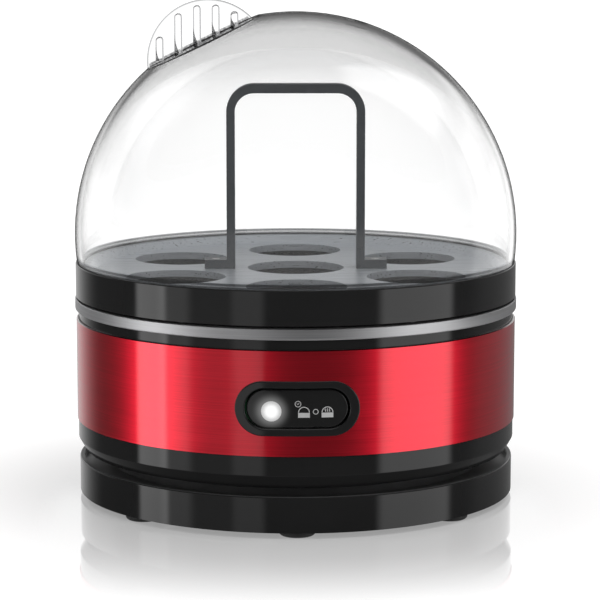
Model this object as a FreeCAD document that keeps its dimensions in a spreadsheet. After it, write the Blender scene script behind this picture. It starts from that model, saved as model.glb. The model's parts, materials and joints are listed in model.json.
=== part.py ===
import FreeCAD, Part
import math
import os

import Sketcher

# Egg cooker: clear lid, egg rack, heated bowl in a sleeved housing, and a base with a cord groove.
# Millimetres, +Z up, front towards -Y, origin on the floor under the middle of the base.

SIZES = {
    # Heights of the stack, from the floor up
    "foot_height": 2.0,
    "base_height": 12.4,
    "groove_mouth": 3.2,
    "lower_height": 11.05,
    "sleeve_height": 36.3,
    "collar_height": 3.4,
    "rim_height": 4.1,
    "shadow_gap": 0.7,
    "rack_height": 12.05,
    # Outer radii: the body's radius and how far each ring stands off it
    "body_radius": 80.0,
    "base_setback": 1.0,
    "lower_setback": 0.6,
    "sleeve_setback": 0.2,
    "collar_setback": 1.2,
    "rim_overhang": 0.2,
    "rack_setback": 0.1,
    # Clearances
    "lift_gap": 0.3,
    "seat_gap": 0.2,
    "fit_gap": 0.05,
    "cut_reach": 10.0,
    # Base, feet and cord groove
    "base_wall": 2.4,
    "base_edge": 0.5,
    "lip_width": 1.6,
    "lip_height": 2.0,
    "foot_count": 7,
    "foot_angle": 48.0,
    "foot_radius": 6.4,
    "foot_inset": 0.6,
    "foot_edge": 1.4,
    "foot_boss_wall": 0.5,
    "base_rib": 1.6,
    "base_rib_inset": 3.0,
    "hub_radius": 20.0,
    "groove_depth": 12.5,
    "neck_wall": 3.0,
    "neck_step": 0.6,
    "neck_step_height": 2.6,
    "gland_width": 8.0,
    "gland_height": 3.8,
    "gland_wall": 0.7,
    "gland_reach": 2.0,
    # Housing
    "housing_wall": 2.2,
    "floor_thickness": 2.4,
    "chamfer_width": 2.4,
    "chamfer_height": 4.2,
    "chamfer_round": 0.5,
    "locate_height": 2.8,
    "sleeve_sheet": 0.6,
    "sleeve_edge": 0.25,
    "ledge_thickness": 2.4,
    # Bowl, seal and heater
    "bowl_sheet": 0.8,
    "bowl_depth": 16.0,
    "bowl_corner": 8.0,
    "rim_width": 5.5,
    "rim_hem": 1.6,
    "rim_round": 0.5,
    "heat_plate_inset": 14.7,
    "heat_plate_thickness": 2.5,
    "element_inset": 10.0,
    "element_tube": 3.2,
    "element_gap_angle": 60.0,
    "cold_pin_radius": 1.5,
    "cold_pin_angle": 12.0,
    "thermostat_radius": 8.0,
    "thermostat_flange": 1.5,
    "thermostat_neck": 6.0,
    "thermostat_height": 9.0,
    "strap_sheet": 0.8,
    "strap_width": 16.0,
    "strap_half_length": 19.0,
    "strap_screw_reach": 15.5,
    "fuse_radius": 2.0,
    "fuse_length": 14.0,
    "fuse_offset": 25.0,
    "clip_length": 6.0,
    "clip_foot": 4.0,
    # Fasteners
    "screw_radius": 1.5,
    "screw_head": 3.2,
    "screw_head_height": 2.0,
    "screw_boss": 4.5,
    "base_screw_inset": 5.0,
    "tie_count": 3,
    "tie_gap": 0.7,
    "tie_height": 24.0,
    "tie_thread": 3.0,
    "bracket_width": 8.0,
    # Switch, on the front of the housing
    "switch_drop": 10.55,
    "bezel_width": 42.3,
    "bezel_height": 18.7,
    "bezel_proud": 0.8,
    "bezel_wall": 1.5,
    "bezel_edge": 0.4,
    "bezel_depth": 12.0,
    "rocker_width": 34.4,
    "rocker_height": 13.2,
    "rocker_end_gap": 0.6,
    "rocker_side_gap": 0.4,
    "rocker_recess": 1.0,
    "rocker_depth": 8.3,
    "rocker_edge": 0.6,
    "pivot_depth": 5.8,
    "pin_radius": 1.25,
    "finger_width": 3.0,
    "finger_height": 5.0,
    "finger_length": 6.5,
    "slot_gap": 2.0,
    "lens_radius": 3.4,
    "lens_offset": 8.8,
    "lens_drop": 0.9,
    "lens_proud": 0.3,
    "switch_left": 5.0,
    "switch_right": 15.0,
    "switch_depth": 11.0,
    "board_width": 36.0,
    "board_height": 18.0,
    "board_thickness": 1.6,
    "led_radius": 2.5,
    "led_length": 9.0,
    "buzzer_radius": 6.0,
    "buzzer_height": 8.0,
    "buzzer_offset": 9.0,
    "tab_thickness": 0.8,
    "tab_width": 5.0,
    "tab_length": 7.0,
    "tab_pitch": 5.0,
    "block_length": 22.0,
    "block_width": 12.0,
    "block_height": 13.0,
    "block_bore": 1.8,
    "block_offset": 32.0,
    # Rack: ring, plate and handle
    "rack_wall": 2.4,
    "rack_edge": 0.5,
    "lid_rebate": 1.0,
    "rack_lip": 0.55,
    "spigot_wall": 2.2,
    "spigot_depth": 6.0,
    "ledge_width": 4.2,
    "rack_rib": 2.0,
    "rack_rib_count": 12,
    "plate_sheet": 0.8,
    "plate_depth": 2.7,
    "plate_rim_inset": 1.1,
    "plate_rim_width": 2.3,
    "plate_slope": 2.1,
    "seat_radius": 17.5,
    "seat_margin": 6.0,
    "seat_count": 6,
    "seat_collar": 1.8,
    "handle_width": 50.0,
    "handle_height": 66.8,
    "handle_leg": 3.0,
    "handle_bar": 3.3,
    "handle_depth": 8.0,
    "handle_corner": 10.0,
    "handle_foot": 8.0,
    "handle_foot_thickness": 3.2,
    # Lid
    "lid_overhang": 0.1,
    "dome_rise": 9.8,
    "dome_wall": 2.0,
    "facet_depth": 3.2,
    "facet_tilt": 25.6,
    "fin_radius": 22.0,
    "fin_thickness": 3.0,
    "fin_sink": 7.0,
    "fin_shift": 1.4,
    "fin_rib_count": 5,
    "fin_rib_pitch": 6.73,
    "fin_rib_width": 3.0,
    "fin_rib_proud": 1.0,
    "fin_rib_inset": 1.6,
    "fin_rib_shift": 4.0,
    "vent_radius": 4.0,
    "vent_offset": 21.8,
}

doc = FreeCAD.newDocument("EggCooker")
sheet = doc.addObject("Spreadsheet::Sheet", "Sheet")
for row, (name, size) in enumerate(SIZES.items(), 1):
    sheet.set(f"A{row}", name)
    sheet.set(f"B{row}", str(size))
    sheet.setAlias(f"B{row}", name)
doc.recompute()


class Dim:
    """A size: its value, and the expression that binds it to the sheet."""

    def __init__(self, value, text):
        self.value = value
        self.text = text

    def __add__(self, other):
        other = as_dim(other)
        return Dim(self.value + other.value, f"({self.text} + {other.text})")

    def __sub__(self, other):
        other = as_dim(other)
        return Dim(self.value - other.value, f"({self.text} - {other.text})")

    def __mul__(self, other):
        other = as_dim(other)
        return Dim(self.value * other.value, f"({self.text} * {other.text})")

    def __truediv__(self, other):
        other = as_dim(other)
        return Dim(self.value / other.value, f"({self.text} / {other.text})")

    def __neg__(self):
        return Dim(-self.value, f"(0 - {self.text})")

    def root(self):
        return Dim(math.sqrt(self.value), f"sqrt({self.text})")

    def sine(self):
        return Dim(math.sin(math.radians(self.value)), f"sin({self.text})")

    def cosine(self):
        return Dim(math.cos(math.radians(self.value)), f"cos({self.text})")


def as_dim(size):
    if isinstance(size, Dim):
        return size
    return Dim(size, f"{size:.9g}")


def bind(thing, prop, size):
    thing.setExpression(prop, as_dim(size).text)


class Sheet:
    """Each of the sheet's sizes by its name."""


for name in SIZES:
    setattr(Sheet, name, Dim(float(sheet.get(name)), f"Sheet.{name}"))
d = Sheet

# Levels of the stack
base_bottom = d.foot_height
base_top = base_bottom + d.base_height
deck_top = base_top - d.lip_height
deck_bottom = deck_top - d.base_wall
lower_bottom = base_top + d.groove_mouth
floor_top = lower_bottom + d.floor_thickness
sleeve_bottom = lower_bottom + d.lower_height
sleeve_top = sleeve_bottom + d.sleeve_height
rim_bottom = sleeve_top + d.collar_height
rim_top = rim_bottom + d.rim_height
bowl_bottom = rim_top - d.bowl_depth - d.bowl_sheet
plate_under = bowl_bottom - d.heat_plate_thickness
post_top = floor_top + d.tie_height
switch_level = bowl_bottom - d.switch_drop
rack_bottom = rim_top + d.shadow_gap
rack_top = rack_bottom + d.rack_height
rebate_floor = rack_top - d.lid_rebate
seat_top = rebate_floor + d.plate_sheet - d.plate_depth
seat_bottom = seat_top - d.plate_sheet
lid_edge = rebate_floor + d.lift_gap
dome_centre = rack_top + d.dome_rise

# Radii
base_radius = d.body_radius - d.base_setback
base_inner = base_radius - d.base_wall
lower_radius = d.body_radius - d.lower_setback
sleeve_radius = d.body_radius - d.sleeve_setback
sleeve_inner = sleeve_radius - d.sleeve_sheet
shell_radius = sleeve_inner - d.fit_gap
shell_inner = shell_radius - d.housing_wall
collar_radius = d.body_radius - d.collar_setback
rim_radius = d.body_radius + d.rim_overhang
bowl_inner = rim_radius - d.rim_width
bowl_outer = bowl_inner + d.bowl_sheet
rack_radius = d.body_radius - d.rack_setback
spigot_radius = bowl_inner - d.lift_gap
spigot_inner = spigot_radius - d.spigot_wall
channel_radius = rack_radius - d.rack_wall
dome_radius = rack_radius + d.lid_overhang
plate_rim = dome_radius - d.dome_wall - d.plate_rim_inset
plate_bend = plate_rim - d.plate_rim_width
plate_floor = plate_bend - d.plate_slope

# Rings on which feet, screws, heater and egg seats are set out
foot_ring = base_radius - d.foot_inset - d.foot_radius
neck_radius = d.body_radius - d.groove_depth
neck_inner = neck_radius - d.neck_wall
base_screw_ring = neck_inner - d.base_screw_inset - d.screw_boss
heat_plate_radius = bowl_inner - d.bowl_corner - d.heat_plate_inset
element_ring = heat_plate_radius - d.element_inset
leg_radius = heat_plate_radius + d.strap_sheet
tie_ring = leg_radius + d.tie_gap + d.screw_boss
seat_ring = plate_floor - d.seat_margin - d.seat_radius

# The lid's facet: its distance from the dome's centre, and the point where the fin is centred
facet_distance = dome_radius - d.facet_depth
fin_lift = facet_distance - d.fin_sink
fin_x = -(fin_lift * d.facet_tilt.sine()) - d.fin_shift * d.facet_tilt.cosine()
fin_z = dome_centre + fin_lift * d.facet_tilt.cosine() - d.fin_shift * d.facet_tilt.sine()

# Depths of the switch, measured along -Y from the housing's axis
bezel_face = sleeve_radius + d.bezel_proud
bezel_back = bezel_face - d.bezel_depth - d.bezel_proud
rocker_face = bezel_face - d.rocker_recess
rocker_back = rocker_face - d.rocker_depth
pivot = sleeve_radius - d.pivot_depth
board_front = bezel_back - d.switch_depth
board_back = board_front - d.board_thickness
opening_width = d.rocker_width + d.rocker_end_gap * 2
opening_height = d.rocker_height + d.rocker_side_gap * 2
tube_width = opening_width + d.bezel_wall * 2
tube_height = opening_height + d.bezel_wall * 2
lens_level = switch_level - d.lens_drop
cutout_width = tube_width + d.seat_gap * 2
cutout_height = tube_height + d.seat_gap * 2
clear_of_body = d.body_radius + d.cut_reach

nodes = {}


def origin_feature(body, role):
    return next(item for item in body.Origin.OriginFeatures if item.Role == role)


def new_body(label):
    body = doc.addObject("PartDesign::Body", label)
    body.Label = label
    body.AllowCompound = True
    nodes[label] = body
    return body


def sketch_on(body, plane, offset):
    sketch = body.newObject("Sketcher::SketchObject", "Sketch")
    sketch.AttachmentSupport = (origin_feature(body, plane), [""])
    sketch.MapMode = "FlatFace"
    bind(sketch, "AttachmentOffset.Base.z", offset)
    return sketch


def constrain(sketch, kind, *where, size):
    size = as_dim(size)
    index = sketch.addConstraint(Sketcher.Constraint(kind, *where, size.value))
    sketch.setExpression(f"Constraints[{index}]", size.text)


def pin_point(sketch, curve, end, x, y):
    constrain(sketch, "DistanceX", -1, 1, curve, end, size=x)
    constrain(sketch, "DistanceY", -1, 1, curve, end, size=y)


def circle(sketch, x, y, radius):
    centre = FreeCAD.Vector(as_dim(x).value, as_dim(y).value, 0)
    curve = sketch.addGeometry(Part.Circle(centre, FreeCAD.Vector(0, 0, 1), as_dim(radius).value))
    pin_point(sketch, curve, 3, x, y)
    constrain(sketch, "Radius", curve, size=radius)


def pill(sketch, x, y, width, height):
    """A slot shape with full round ends, centred on (x, y)."""
    radius = height / 2
    half = (width - height) / 2
    left, right = x - half, x + half
    up = FreeCAD.Vector(0, 0, 1)
    quarter = math.pi / 2
    ends = []
    for middle, start in ((right, -quarter), (left, quarter)):
        centre = FreeCAD.Vector(middle.value, y.value, 0)
        arc = Part.ArcOfCircle(Part.Circle(centre, up, radius.value), start, start + math.pi)
        ends.append(sketch.addGeometry(arc))
    sides = []
    for first, last, level in ((right, left, y + radius), (left, right, y - radius)):
        begin = FreeCAD.Vector(first.value, level.value, 0)
        finish = FreeCAD.Vector(last.value, level.value, 0)
        sides.append(sketch.addGeometry(Part.LineSegment(begin, finish)))
    top, bottom = sides
    for arc, before, after in ((ends[0], bottom, top), (ends[1], top, bottom)):
        sketch.addConstraint(Sketcher.Constraint("Tangent", before, 2, arc, 1))
        sketch.addConstraint(Sketcher.Constraint("Tangent", arc, 2, after, 1))
    pin_point(sketch, ends[0], 3, right, y)
    pin_point(sketch, ends[1], 3, left, y)
    constrain(sketch, "Radius", ends[0], size=radius)
    sketch.addConstraint(Sketcher.Constraint("Equal", ends[0], ends[1]))


def outline(sketch, corners):
    """A closed outline through corners (x, y), rounded where a corner has a third size."""
    points = [FreeCAD.Vector(as_dim(corner[0]).value, as_dim(corner[1]).value, 0) for corner in corners]
    rounds = [as_dim(corner[2]) if len(corner) > 2 else None for corner in corners]
    count = len(points)
    arrive, leave, arcs = list(points), list(points), {}
    for k in range(count):
        if rounds[k] is None:
            continue
        back = (points[k - 1] - points[k]).normalize()
        ahead = (points[(k + 1) % count] - points[k]).normalize()
        half_angle = back.getAngle(ahead) / 2
        reach = rounds[k].value / math.tan(half_angle)
        arrive[k] = points[k] + back * reach
        leave[k] = points[k] + ahead * reach
        centre = points[k] + (back + ahead).normalize() * (rounds[k].value / math.sin(half_angle))
        turns_left = back.cross(ahead).z < 0
        first, last = (arrive[k], leave[k]) if turns_left else (leave[k], arrive[k])
        angles = [math.atan2((end - centre).y, (end - centre).x) for end in (first, last)]
        arc = Part.ArcOfCircle(Part.Circle(centre, FreeCAD.Vector(0, 0, 1), rounds[k].value), *angles)
        arcs[k] = (arc, turns_left)
    lines = []
    for k in range(count):
        lines.append(sketch.addGeometry(Part.LineSegment(leave[k], arrive[(k + 1) % count])))
    for k in range(count):
        before, after = lines[k - 1], lines[k]
        if k not in arcs:
            sketch.addConstraint(Sketcher.Constraint("Coincident", before, 2, after, 1))
            pin_point(sketch, after, 1, corners[k][0], corners[k][1])
            continue
        arc, turns_left = arcs[k]
        curve = sketch.addGeometry(arc)
        corner = sketch.addGeometry(Part.Point(points[k]), True)
        start, end = (1, 2) if turns_left else (2, 1)
        sketch.addConstraint(Sketcher.Constraint("Tangent", before, 2, curve, start))
        sketch.addConstraint(Sketcher.Constraint("Tangent", curve, end, after, 1))
        sketch.addConstraint(Sketcher.Constraint("PointOnObject", corner, 1, before))
        sketch.addConstraint(Sketcher.Constraint("PointOnObject", corner, 1, after))
        pin_point(sketch, corner, 1, corners[k][0], corners[k][1])
        constrain(sketch, "Radius", curve, size=rounds[k])


def rectangle(sketch, left, right, low, high):
    outline(sketch, [(left, low), (right, low), (right, high), (left, high)])


def turn(body, kind, corners, axis_x=None):
    """A full revolution of an outline in the XZ plane about the Z axis, or about the line x = axis_x."""
    sketch = sketch_on(body, "XZ_Plane", 0)
    axis = "V_Axis"
    if axis_x is not None:
        low, high = as_dim(corners[0][1]), as_dim(corners[-1][1])
        ends = [FreeCAD.Vector(axis_x.value, level.value, 0) for level in (low, high)]
        line = sketch.addGeometry(Part.LineSegment(*ends), True)
        pin_point(sketch, line, 1, axis_x, low)
        pin_point(sketch, line, 2, axis_x, high)
        axis = "Axis0"
    outline(sketch, corners)
    feature = body.newObject(f"PartDesign::{kind}", kind)
    feature.Profile = sketch
    feature.ReferenceAxis = (sketch, [axis])
    feature.Angle = 360
    return feature


def revolved(label, corners):
    body = new_body(label)
    turn(body, "Revolution", corners)
    return body


def extrude(body, kind, plane, offset, length, draw):
    """Pad along the plane's normal from offset, or Pocket against it."""
    sketch = sketch_on(body, plane, offset)
    draw(sketch)
    feature = body.newObject(f"PartDesign::{kind}", kind)
    feature.Profile = sketch
    bind(feature, "Length", length)
    return feature


def pad(body, plane, low, high, draw):
    return extrude(body, "Pad", plane, low, high - low, draw)


def pocket(body, plane, low, high, draw):
    return extrude(body, "Pocket", plane, high, high - low, draw)


def repeat(body, features, count, span=360):
    """Features repeated round the Z axis, over a full turn or from the first to the last over a span."""
    pattern = body.newObject("PartDesign::PolarPattern", "PolarPattern")
    pattern.Originals = features
    pattern.Axis = (origin_feature(body, "Z_Axis"), [""])
    bind(pattern, "Angle", span)
    bind(pattern, "Occurrences", count)
    body.Tip = pattern


def turn_about_z(thing, degrees):
    thing.Placement = FreeCAD.Placement(FreeCAD.Vector(), FreeCAD.Rotation(FreeCAD.Vector(0, 0, 1), 90))
    bind(thing, "Placement.Rotation.Angle", degrees)


def at_angle(ring, degrees):
    """The point of a ring at an angle from +X."""
    angle = as_dim(degrees)
    return ring * angle.cosine(), ring * angle.sine()


def place(thing, x=0, y=0, z=0):
    bind(thing, "Placement.Base.x", x)
    bind(thing, "Placement.Base.y", y)
    bind(thing, "Placement.Base.z", z)


def primitive(kind, label, **sizes):
    thing = doc.addObject(f"Part::{kind}", label)
    thing.Label = label
    for prop, size in sizes.items():
        bind(thing, prop, size)
    return thing


def as_node(label, thing):
    thing.Label = label
    nodes[label] = thing
    return thing


def lay_along_y(thing, x, y, z):
    """Turn a primitive's own Z axis to -Y and set its start."""
    thing.Placement = FreeCAD.Placement(FreeCAD.Vector(), FreeCAD.Rotation(FreeCAD.Vector(1, 0, 0), 90))
    place(thing, x, y, z)


def join(kind, label, shapes):
    thing = doc.addObject(f"Part::{kind}", label)
    thing.Shapes = shapes
    return thing


def cut(label, base, tool):
    thing = doc.addObject("Part::Cut", label)
    thing.Base = base
    thing.Tool = tool
    return thing


# Base plate, feet and the neck that the cord is wound on

# The base is drawn from its first foot on and then turned, so that its middle foot comes to the front
foot_span = d.foot_angle * (d.foot_count - 1)
first_foot = as_dim(270) - foot_span / 2
# Four screws, each midway between two feet
base_screw_steps = (0.5, 1.5, 4.5, 5.5)

body = revolved("base_plate", [
    (0, deck_bottom),
    (base_inner, deck_bottom),
    (base_inner, base_bottom),
    (base_radius, base_bottom),
    (base_radius, base_top, d.base_edge),
    (base_radius - d.lip_width, base_top),
    (base_radius - d.lip_width, deck_top),
    (0, deck_top),
])
boss = pad(body, "XY_Plane", base_bottom, deck_bottom,
           lambda s: circle(s, foot_ring, 0, d.foot_radius + d.foot_boss_wall))
rib = pad(body, "XY_Plane", base_bottom + d.base_rib_inset, deck_bottom,
          lambda s: rectangle(s, d.hub_radius - d.base_rib, foot_ring, -d.base_rib / 2, d.base_rib / 2))
repeat(body, [boss, rib], d.foot_count, foot_span)


def hub_ring(sketch):
    circle(sketch, 0, 0, d.hub_radius)
    circle(sketch, 0, 0, d.hub_radius - d.base_rib)


pad(body, "XY_Plane", base_bottom + d.base_rib_inset, deck_bottom, hub_ring)


def base_screw_circles(radius, start):
    def draw(sketch):
        for step in base_screw_steps:
            circle(sketch, *at_angle(base_screw_ring, start + d.foot_angle * step), radius)
    return draw


pocket(body, "XY_Plane", deck_bottom, deck_top, base_screw_circles(d.screw_radius + d.fit_gap, as_dim(0)))
turn_about_z(body, first_foot)

body = new_body("base_feet")
foot = turn(body, "Revolution", [
    (foot_ring, 0),
    (foot_ring + d.foot_radius, 0, d.foot_edge),
    (foot_ring + d.foot_radius, base_bottom),
    (foot_ring, base_bottom),
], axis_x=foot_ring)
repeat(body, [foot], d.foot_count, foot_span)
turn_about_z(body, first_foot)

neck_step_level = deck_top + d.neck_step_height
gland_level = (deck_top + lower_bottom) / 2
body = revolved("cord_spool", [
    (neck_inner, deck_top),
    (neck_radius, deck_top),
    (neck_radius, neck_step_level),
    (neck_radius - d.neck_step, neck_step_level + d.neck_step),
    (neck_radius - d.neck_step, lower_bottom),
    (neck_inner, lower_bottom),
])
gland_inside = neck_inner - d.gland_reach
gland_outside = neck_radius + d.gland_reach
middle = as_dim(0)
pocket(body, "XZ_Plane", -gland_outside, -gland_inside,
       lambda s: pill(s, middle, gland_level, d.gland_width + d.fit_gap * 2, d.gland_height + d.fit_gap * 2))

body = new_body("cord_gland")
pad(body, "XZ_Plane", -gland_outside, -gland_inside,
    lambda s: pill(s, middle, gland_level, d.gland_width, d.gland_height))
gland_bore_width = d.gland_width - d.gland_wall * 2
gland_bore_height = d.gland_height - d.gland_wall * 2
pocket(body, "XZ_Plane", -gland_outside, -gland_inside,
       lambda s: pill(s, middle, gland_level, gland_bore_width, gland_bore_height))

body = new_body("base_screws")
pad(body, "XY_Plane", deck_bottom - d.screw_head_height, deck_bottom,
    base_screw_circles(d.screw_head, first_foot))
pad(body, "XY_Plane", deck_bottom, lower_bottom, base_screw_circles(d.screw_radius, first_foot))

# Lower housing: floor, lower ring, screw bosses and the posts of the tie screws

locate_radius = shell_inner - d.seat_gap
locate_inner = locate_radius - d.housing_wall
locate_top = sleeve_bottom + d.locate_height
body = revolved("lower_housing", [
    (0, lower_bottom),
    (lower_radius - d.chamfer_width, lower_bottom, d.chamfer_round),
    (lower_radius, lower_bottom + d.chamfer_height, d.chamfer_round),
    (lower_radius, sleeve_bottom),
    (locate_radius, sleeve_bottom),
    (locate_radius, locate_top),
    (locate_inner, locate_top),
    (locate_inner, floor_top),
    (0, floor_top),
])
pad(body, "XY_Plane", deck_top, lower_bottom, base_screw_circles(d.screw_boss, first_foot))
pocket(body, "XY_Plane", deck_top, lower_bottom,
       base_screw_circles(d.screw_radius + d.fit_gap, first_foot))
post = pad(body, "XY_Plane", floor_top, post_top, lambda s: circle(s, tie_ring, 0, d.screw_boss))
bore = pocket(body, "XY_Plane", lower_bottom, post_top,
              lambda s: circle(s, tie_ring, 0, d.screw_radius + d.seat_gap))
repeat(body, [post, bore], d.tie_count)

tab_top = post_top + d.strap_sheet
bracket_reach = tie_ring + d.screw_boss
body = new_body("bowl_brackets")
strap = pad(body, "XZ_Plane", -d.bracket_width / 2, d.bracket_width / 2, lambda s: outline(s, [
    (element_ring + d.element_tube + d.strap_sheet, plate_under),
    (leg_radius, plate_under),
    (leg_radius, tab_top),
    (bracket_reach, tab_top),
    (bracket_reach, post_top),
    (leg_radius - d.strap_sheet, post_top),
    (leg_radius - d.strap_sheet, plate_under - d.strap_sheet),
    (element_ring + d.element_tube + d.strap_sheet, plate_under - d.strap_sheet),
]))
bore = pocket(body, "XY_Plane", post_top, tab_top,
              lambda s: circle(s, tie_ring, 0, d.screw_radius + d.fit_gap))
repeat(body, [strap, bore], d.tie_count)

body = new_body("tie_screws")
head = pad(body, "XY_Plane", lower_bottom - d.screw_head_height, lower_bottom,
           lambda s: circle(s, tie_ring, 0, d.screw_head))
shank = pad(body, "XY_Plane", lower_bottom, tab_top + d.tie_thread,
            lambda s: circle(s, tie_ring, 0, d.screw_radius))
repeat(body, [head, shank], d.tie_count)

# Inner shell with its collar, and the sleeve round it


def switch_cutout(body):
    pocket(body, "XZ_Plane", bezel_back, clear_of_body,
           lambda s: pill(s, middle, switch_level, cutout_width, cutout_height))


shell_bottom = sleeve_bottom + d.sleeve_sheet
ledge_inner = bowl_outer + d.seat_gap
body = revolved("inner_shell", [
    (shell_inner, shell_bottom),
    (shell_radius, shell_bottom),
    (shell_radius, sleeve_top),
    (collar_radius, sleeve_top),
    (collar_radius, rim_bottom),
    (ledge_inner, rim_bottom),
    (ledge_inner, rim_bottom - d.ledge_thickness),
    (shell_inner, rim_bottom - d.ledge_thickness),
])
switch_cutout(body)

body = revolved("sleeve", [
    (shell_inner + d.seat_gap, sleeve_bottom),
    (sleeve_radius, sleeve_bottom),
    (sleeve_radius, sleeve_top - d.sleeve_edge),
    (sleeve_radius - d.sleeve_edge, sleeve_top),
    (sleeve_inner, sleeve_top),
    (sleeve_inner, shell_bottom),
    (shell_inner + d.seat_gap, shell_bottom),
])
switch_cutout(body)

# Heating bowl with its rolled rim, the seal and the heater under it

revolved("heating_bowl", [
    (0, bowl_bottom),
    (bowl_outer, bowl_bottom, d.bowl_corner + d.bowl_sheet),
    (bowl_outer, rim_top - d.bowl_sheet),
    (rim_radius - d.rim_hem, rim_top - d.bowl_sheet),
    (rim_radius - d.rim_hem, rim_bottom),
    (rim_radius, rim_bottom, d.rim_round),
    (rim_radius, rim_top, d.rim_round),
    (bowl_inner, rim_top, d.bowl_sheet / 2),
    (bowl_inner, bowl_bottom + d.bowl_sheet, d.bowl_corner),
    (0, bowl_bottom + d.bowl_sheet),
])

revolved("rim_seal", [
    (bowl_outer + d.seat_gap, rim_bottom),
    (rim_radius - d.rim_hem - d.seat_gap, rim_bottom),
    (rim_radius - d.rim_hem - d.seat_gap, rim_top - d.bowl_sheet),
    (bowl_outer + d.seat_gap, rim_top - d.bowl_sheet),
])


def strap_screw_circles(radius):
    def draw(sketch):
        for side in (-1, 1):
            circle(sketch, d.strap_screw_reach * side, 0, radius)
    return draw


body = new_body("heat_plate")
pad(body, "XY_Plane", plate_under, bowl_bottom, lambda s: circle(s, 0, 0, heat_plate_radius))
pocket(body, "XY_Plane", plate_under, bowl_bottom, strap_screw_circles(d.screw_radius + d.fit_gap))


def ring_span(label, tube, start, span, level):
    """A stretch of a ring of tube, from an angle on."""
    arc = primitive("Torus", label, Radius1=element_ring, Radius2=tube, Angle3=span)
    turn_about_z(arc, start)
    place(arc, z=level)
    return arc


element_level = plate_under - d.element_tube
gap_start = as_dim(90) - d.element_gap_angle / 2
gap_end = as_dim(90) + d.element_gap_angle / 2
element_span = as_dim(360) - d.element_gap_angle
as_node("heating_element", ring_span("heating_element", d.element_tube, gap_end, element_span, element_level))
cold_pins = doc.addObject("Part::Compound", "element_terminals")
cold_pins.Links = [
    ring_span("cold_pin", d.cold_pin_radius, gap_start, d.cold_pin_angle, element_level),
    ring_span("cold_pin", d.cold_pin_radius, gap_end - d.cold_pin_angle, d.cold_pin_angle, element_level),
]
as_node("element_terminals", cold_pins)

thermostat_bottom = plate_under - d.thermostat_height
revolved("thermostat", [
    (0, thermostat_bottom),
    (d.thermostat_neck, thermostat_bottom),
    (d.thermostat_neck, plate_under - d.thermostat_flange),
    (d.thermostat_radius, plate_under - d.thermostat_flange),
    (d.thermostat_radius, plate_under),
    (0, plate_under),
])

strap_level = plate_under - d.thermostat_flange
bend = d.thermostat_radius + d.strap_sheet
body = new_body("thermostat_bracket")
pad(body, "XZ_Plane", -d.strap_width / 2, d.strap_width / 2, lambda s: outline(s, [
    (-d.strap_half_length, plate_under),
    (-d.strap_half_length, plate_under - d.strap_sheet),
    (-bend - d.strap_sheet, plate_under - d.strap_sheet),
    (-bend - d.strap_sheet, strap_level - d.strap_sheet),
    (bend + d.strap_sheet, strap_level - d.strap_sheet),
    (bend + d.strap_sheet, plate_under - d.strap_sheet),
    (d.strap_half_length, plate_under - d.strap_sheet),
    (d.strap_half_length, plate_under),
    (bend, plate_under),
    (bend, strap_level),
    (-bend, strap_level),
    (-bend, plate_under),
]))
pocket(body, "XY_Plane", strap_level - d.strap_sheet, strap_level,
       lambda s: circle(s, 0, 0, d.thermostat_neck + d.seat_gap))
pocket(body, "XY_Plane", plate_under - d.strap_sheet, plate_under,
       strap_screw_circles(d.screw_radius + d.fit_gap))

body = new_body("thermostat_screws")
strap_under = plate_under - d.strap_sheet
pad(body, "XY_Plane", strap_under - d.screw_head_height, strap_under, strap_screw_circles(d.screw_head))
pad(body, "XY_Plane", strap_under, bowl_bottom, strap_screw_circles(d.screw_radius))

fuse_level = plate_under - d.fuse_radius - d.fit_gap
body = new_body("thermal_fuse")
pad(body, "YZ_Plane", -d.fuse_length / 2, d.fuse_length / 2,
    lambda s: circle(s, -d.fuse_offset, fuse_level, d.fuse_radius))

clip_half = d.fuse_radius + d.fit_gap
clip_low = fuse_level - clip_half
body = new_body("fuse_clip")
pad(body, "YZ_Plane", -d.clip_length / 2, d.clip_length / 2, lambda s: outline(s, [
    (-d.fuse_offset - clip_half - d.clip_foot, plate_under),
    (-d.fuse_offset - clip_half - d.clip_foot, plate_under - d.strap_sheet),
    (-d.fuse_offset - clip_half - d.strap_sheet, plate_under - d.strap_sheet),
    (-d.fuse_offset - clip_half - d.strap_sheet, clip_low - d.strap_sheet),
    (-d.fuse_offset + clip_half + d.strap_sheet, clip_low - d.strap_sheet),
    (-d.fuse_offset + clip_half + d.strap_sheet, plate_under - d.strap_sheet),
    (-d.fuse_offset + clip_half + d.clip_foot, plate_under - d.strap_sheet),
    (-d.fuse_offset + clip_half + d.clip_foot, plate_under),
    (-d.fuse_offset + clip_half, plate_under),
    (-d.fuse_offset + clip_half, clip_low),
    (-d.fuse_offset - clip_half, clip_low),
    (-d.fuse_offset - clip_half, plate_under),
]))

body = new_body("terminal_block")
block_rear = d.block_offset + d.block_width
pad(body, "XY_Plane", floor_top, floor_top + d.block_height,
    lambda s: rectangle(s, -d.block_length / 2, d.block_length / 2, d.block_offset, block_rear))


def block_bores(sketch):
    for side in (-1, 0, 1):
        circle(sketch, d.block_length / 3 * side, floor_top + d.block_height / 2, d.block_bore)


pocket(body, "XZ_Plane", -block_rear, -d.block_offset, block_bores)

# Switch: bezel, rocker on its pin, lamp lens, and the board behind them


def ring_above(body, inner):
    """Cut away all that stands further from the axis than a radius."""
    low = switch_level - d.bezel_height
    high = switch_level + d.bezel_height
    far = clear_of_body + d.cut_reach
    return turn(body, "Groove", [(inner, low), (far, low), (far, high), (inner, high)])


def pin_hole(body, radius):
    pocket(body, "XY_Plane", switch_level - d.bezel_height, switch_level + d.bezel_height,
           lambda s: circle(s, 0, -pivot, radius))


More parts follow.
